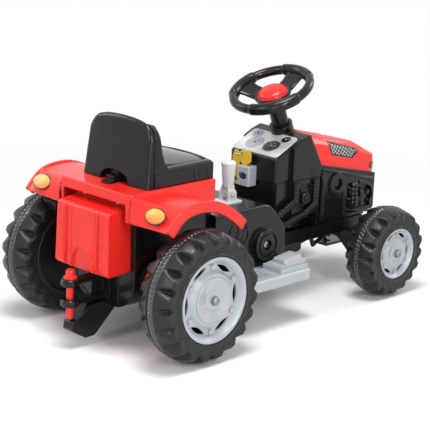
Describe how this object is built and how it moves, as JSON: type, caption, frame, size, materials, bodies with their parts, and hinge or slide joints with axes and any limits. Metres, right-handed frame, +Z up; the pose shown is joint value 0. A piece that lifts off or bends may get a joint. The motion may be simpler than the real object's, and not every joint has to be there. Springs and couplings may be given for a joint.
{
  "type": "ride-on tractor toy",
  "caption": "Child's battery ride-on tractor with lugged wheels, tilting seat, steering linkage, gear lever, pedal, key and rear hitch pin.",
  "frame": {"origin": "on the ground under the middle of the overall length and width", "axes": "+X to the tractor's right, +Y forward, +Z up"},
  "size_m": [0.5126, 0.871, 0.4929],
  "materials": {
    "red_plastic": "moulded gloss red",
    "black_plastic": "moulded satin black",
    "tyre_plastic": "moulded matt black",
    "silver_plastic": "silver-grey satin",
    "amber_lens": "translucent amber",
    "clear_lens": "pale lens",
    "dark_mesh": "dark mesh",
    "yellow_plastic": "yellow",
    "steel": "zinc-plated",
    "nylon": "natural nylon",
    "battery_case": "dark case"
  },
  "bodies": {
    "tractor": {"fender_unit": "red_plastic", "rear_box": "red_plastic", "bonnet": "red_plastic", "rear_chassis": "black_plastic", "mid_chassis": "black_plastic", "hitch_bracket": "black_plastic", "tow_hook": "black_plastic", "dash_housing": "black_plastic", "engine_block": "black_plastic", "engine_hoses": "black_plastic", "front_grille": "black_plastic", "front_frame": "black_plastic", "front_axle_beam": "black_plastic", "footrest_right": "silver_plastic", "footrest_left": "silver_plastic", "lever_bracket": "silver_plastic", "dashboard_plate": "silver_plastic", "ignition_box": "silver_plastic", "tail_lights": "amber_lens", "headlights": "clear_lens", "bonnet_grilles": "dark_mesh", "rear_axle": "steel", "rear_cap_nuts": "steel", "body_screws": "steel", "hinge_pins": "steel", "king_pins": "steel", "motor": "steel", "gearbox_plate": "nylon", "pedal_switch": "nylon", "battery": "battery_case"},
    "rear_wheel_right": {"rear_tyre_right": "tyre_plastic", "rear_rim_right": "silver_plastic", "drive_hub": "red_plastic", "output_gear": "nylon"},
    "rear_wheel_left": {"rear_tyre_left": "tyre_plastic", "rear_rim_left": "silver_plastic"},
    "knuckle_right": {"knuckle_right": "steel", "front_cap_nut_right": "steel"},
    "knuckle_left": {"knuckle_left": "steel", "front_cap_nut_left": "steel"},
    "front_wheel_right": {"front_tyre_right": "tyre_plastic", "front_rim_right": "silver_plastic"},
    "front_wheel_left": {"front_tyre_left": "tyre_plastic", "front_rim_left": "silver_plastic"},
    "reduction": {"reduction_gear": "nylon"},
    "pinion": {"motor_pinion": "nylon"},
    "tie_rod": {"tie_rod": "steel"},
    "steering": {"steering_wheel": "black_plastic", "column_tube": "black_plastic", "steering_rod": "steel"},
    "horn": {"horn_button": "red_plastic"},
    "seat": {"seat_shell": "black_plastic", "seat_rear_cover": "black_plastic"},
    "latch": {"seat_latch": "black_plastic"},
    "hitch_pin": {"hitch_pin": "red_plastic"},
    "pedal": {"accelerator_pedal": "silver_plastic"},
    "lever": {"gear_lever": "silver_plastic"},
    "key": {"ignition_key": "yellow_plastic", "key_ring": "steel"},
    "tag": {"key_tag": "yellow_plastic"}
  },
  "joints": [
    {"name": "rear_right_spin", "type": "hinge", "parent": "tractor", "child": "rear_wheel_right", "pos_m": [0.206, -0.2725, 0.13], "axis": [1, 0, 0], "continuous": true},
    {"name": "rear_left_spin", "type": "hinge", "parent": "tractor", "child": "rear_wheel_left", "pos_m": [-0.206, -0.2725, 0.13], "axis": [1, 0, 0], "continuous": true},
    {"name": "reduction_spin", "type": "hinge", "parent": "tractor", "child": "reduction", "pos_m": [0.06, -0.25982, 0.17733], "axis": [1, 0, 0], "continuous": true},
    {"name": "pinion_spin", "type": "hinge", "parent": "tractor", "child": "pinion", "pos_m": [0.06, -0.22043, 0.18428], "axis": [1, 0, 0], "continuous": true},
    {"name": "steering", "type": "hinge", "parent": "tractor", "child": "steering", "pos_m": [0, 0.1255, 0.45], "axis": [0, -0.3975, 0.9176], "range_deg": [-25, 25]},
    {"name": "horn_press", "type": "slide", "parent": "steering", "child": "horn", "axis": [0, 0.3975, -0.9176], "range_m": [0, 0.003], "stiffness_N_per_m": 600, "springref_m": -0.003},
    {"name": "steer_right", "type": "hinge", "parent": "tractor", "child": "knuckle_right", "pos_m": [0.1, 0.3375, 0.098], "axis": [0, 0, 1], "range_deg": [-25, 25]},
    {"name": "steer_left", "type": "hinge", "parent": "tractor", "child": "knuckle_left", "pos_m": [-0.1, 0.3375, 0.098], "axis": [0, 0, 1], "range_deg": [-25, 25]},
    {"name": "tie_rod_pivot", "type": "hinge", "parent": "knuckle_left", "child": "tie_rod", "pos_m": [-0.1, 0.3775, 0.0812], "axis": [0, 0, 1], "range_deg": [-25, 25]},
    {"name": "front_right_spin", "type": "hinge", "parent": "knuckle_right", "child": "front_wheel_right", "pos_m": [0.16, 0.3375, 0.098], "axis": [1, 0, 0], "continuous": true},
    {"name": "front_left_spin", "type": "hinge", "parent": "knuckle_left", "child": "front_wheel_left", "pos_m": [-0.16, 0.3375, 0.098], "axis": [1, 0, 0], "continuous": true},
    {"name": "seat_tilt", "type": "hinge", "parent": "tractor", "child": "seat", "pos_m": [0, -0.1265, 0.31], "axis": [-1, 0, 0], "range_deg": [0, 65]},
    {"name": "latch_slide", "type": "slide", "parent": "tractor", "child": "latch", "axis": [0, -1, 0], "range_m": [0, 0.008]},
    {"name": "hitch_lift", "type": "slide", "parent": "tractor", "child": "hitch_pin", "axis": [0, 0, 1], "range_m": [0, 0.078]},
    {"name": "pedal_press", "type": "hinge", "parent": "tractor", "child": "pedal", "pos_m": [0.147, 0.0045, 0.118], "axis": [-1, 0, 0], "range_deg": [0, 6], "stiffness_Nm_per_rad": 4, "springref_deg": -8.59},
    {"name": "lever_shift", "type": "hinge", "parent": "tractor", "child": "lever", "pos_m": [0.04, -0.0355, 0.258], "axis": [1, 0, 0], "range_deg": [-14, 12]},
    {"name": "key_turn", "type": "hinge", "parent": "tractor", "child": "key", "pos_m": [-0.01, 0.0655, 0.294], "axis": [0, 0, 1], "range_deg": [0, 40]},
    {"name": "tag_swing", "type": "hinge", "parent": "key", "child": "tag", "pos_m": [-0.036, 0.0655, 0.316], "axis": [0, 1, 0], "range_deg": [0, 45]}
  ],
  "couplings": [
    {"joint": "reduction_spin", "follows": "rear_right_spin", "ratio": -3.4545},
    {"joint": "pinion_spin", "follows": "rear_right_spin", "ratio": 10.364},
    {"joint": "steer_right", "follows": "steering", "ratio": 1},
    {"joint": "steer_left", "follows": "steering", "ratio": 1},
    {"joint": "tie_rod_pivot", "follows": "steering", "ratio": -1}
  ]
}
